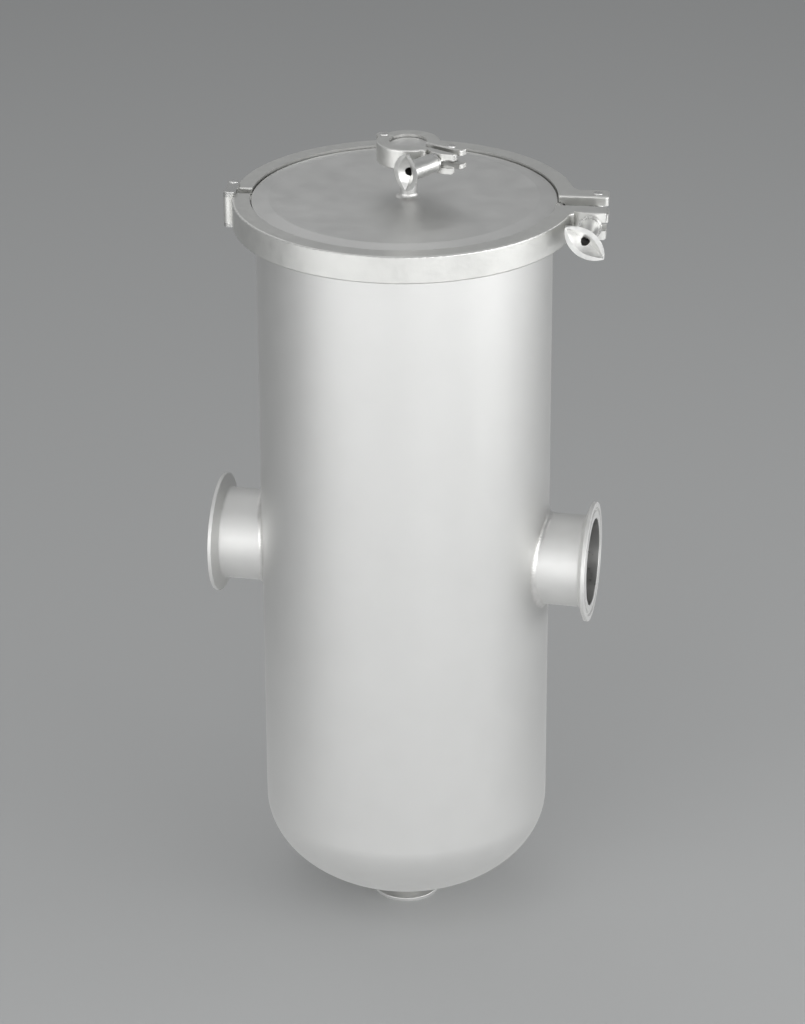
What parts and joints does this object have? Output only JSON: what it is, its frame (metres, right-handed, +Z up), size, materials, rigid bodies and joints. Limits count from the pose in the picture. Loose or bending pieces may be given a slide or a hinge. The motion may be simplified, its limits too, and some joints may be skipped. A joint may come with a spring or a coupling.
{
  "type": "steam separator",
  "caption": "Upright stainless steam separator pot with opposed clamp nozzles, bottom drain, inner baffle and a lid held by a hinged wing-nut clamp with a capped vent.",
  "frame": {"origin": "centre of the drain ferrule's lower sealing face", "axes": "+Z up the vessel's axis, +X along the nozzles towards the outlet, -Y the front"},
  "size_m": [0.3006, 0.2526, 0.634],
  "materials": {
    "shell": "bead blasted stainless, satin",
    "ferrule": "turned stainless, satin",
    "lid": "brushed stainless",
    "clamp_half": "cast stainless, satin",
    "cast_nut": "cast stainless, tumbled",
    "fastener": "machined stainless",
    "weld": "dressed weld",
    "inner_plate": "mill finish stainless",
    "gasket": "matt silicone"
  },
  "bodies": {
    "vessel": {"bottom_head": "shell", "shell_tube": "shell", "top_ferrule": "ferrule", "inlet_tube": "shell", "inlet_ferrule": "ferrule", "inlet_weld": "weld", "outlet_tube": "shell", "outlet_ferrule": "ferrule", "outlet_weld": "weld", "drain_ferrule": "ferrule", "drain_weld": "weld", "lid": "lid", "lid_gasket": "gasket", "vent_tube": "shell", "vent_weld": "weld", "vent_ferrule": "ferrule", "vent_gasket": "gasket", "vent_cap": "lid", "baffle_plate": "inner_plate", "baffle_brackets": "inner_plate", "inlet_deflector": "inner_plate", "vortex_breaker": "inner_plate", "lid_clamp_rear_half": "clamp_half", "lid_clamp_bolt_pin": "fastener", "vent_clamp_rear_half": "clamp_half", "vent_clamp_bolt_pin": "fastener", "vent_clamp_hinge_pin": "fastener"},
    "lid_clamp_link": {"lid_clamp_upper_link": "fastener", "lid_clamp_lower_link": "fastener", "lid_clamp_rear_hinge_pin": "fastener", "lid_clamp_front_hinge_pin": "fastener"},
    "lid_clamp_front": {"lid_clamp_front_half": "clamp_half"},
    "lid_clamp_bolt": {"lid_clamp_swing_bolt": "fastener"},
    "lid_clamp_washer_seat": {"lid_clamp_washer": "fastener"},
    "lid_clamp_nut": {"lid_clamp_wing_nut": "cast_nut"},
    "vent_clamp_front": {"vent_clamp_front_half": "clamp_half"},
    "vent_clamp_bolt": {"vent_clamp_swing_bolt": "fastener"},
    "vent_clamp_washer_seat": {"vent_clamp_washer": "fastener"},
    "vent_clamp_nut": {"vent_clamp_wing_nut": "cast_nut"}
  },
  "joints": [
    {"name": "lid_clamp_nut_turn", "type": "hinge", "parent": "lid_clamp_washer_seat", "child": "lid_clamp_nut", "pos_m": [0.14018, -0.01377, 0.5742], "axis": [0.0262, -0.9997, 0], "range_deg": [0, 1800]},
    {"name": "lid_clamp_nut_travel", "type": "slide", "parent": "lid_clamp_bolt", "child": "lid_clamp_washer_seat", "axis": [0.0262, -0.9997, 0], "range_m": [0, 0.005]},
    {"name": "lid_clamp_bolt_swing", "type": "hinge", "parent": "vessel", "child": "lid_clamp_bolt", "pos_m": [0.13902, 0.03046, 0.5742], "axis": [0, 0, 1], "range_deg": [0, 100]},
    {"name": "lid_clamp_link_turn", "type": "hinge", "parent": "vessel", "child": "lid_clamp_link", "pos_m": [-0.12807, -0.00128, 0.5742], "axis": [0, 0, -1], "range_deg": [0, 0.5327]},
    {"name": "lid_clamp_opening", "type": "hinge", "parent": "lid_clamp_link", "child": "lid_clamp_front", "pos_m": [-0.12596, -0.02318, 0.5742], "axis": [0, 0, -1], "range_deg": [0, 0.5327]},
    {"name": "vent_clamp_nut_turn", "type": "hinge", "parent": "vent_clamp_washer_seat", "child": "vent_clamp_nut", "pos_m": [0.02622, -0.0249, 0.62003], "axis": [-0.515, -0.8572, 0], "range_deg": [0, 1080]},
    {"name": "vent_clamp_nut_travel", "type": "slide", "parent": "vent_clamp_bolt", "child": "vent_clamp_washer_seat", "axis": [-0.515, -0.8572, 0], "range_m": [0, 0.003]},
    {"name": "vent_clamp_bolt_swing", "type": "hinge", "parent": "vessel", "child": "vent_clamp_bolt", "pos_m": [0.03665, -0.00754, 0.62003], "axis": [0, 0, 1], "range_deg": [0, 100]},
    {"name": "vent_clamp_opening", "type": "hinge", "parent": "vessel", "child": "vent_clamp_front", "pos_m": [-0.01674, 0.0093, 0.62003], "axis": [0, 0, -1], "range_deg": [0, 3.1]}
  ],
  "couplings": [
    {"joint": "lid_clamp_nut_turn", "follows": "lid_clamp_nut_travel", "rad_per_m": 6283.2},
    {"joint": "lid_clamp_link_turn", "follows": "lid_clamp_nut_travel", "rad_per_m": 1.8594},
    {"joint": "lid_clamp_opening", "follows": "lid_clamp_nut_travel", "rad_per_m": 1.8594},
    {"joint": "vent_clamp_nut_turn", "follows": "vent_clamp_nut_travel", "rad_per_m": 6283.2},
    {"joint": "vent_clamp_opening", "follows": "vent_clamp_nut_travel", "rad_per_m": 18.018}
  ]
}
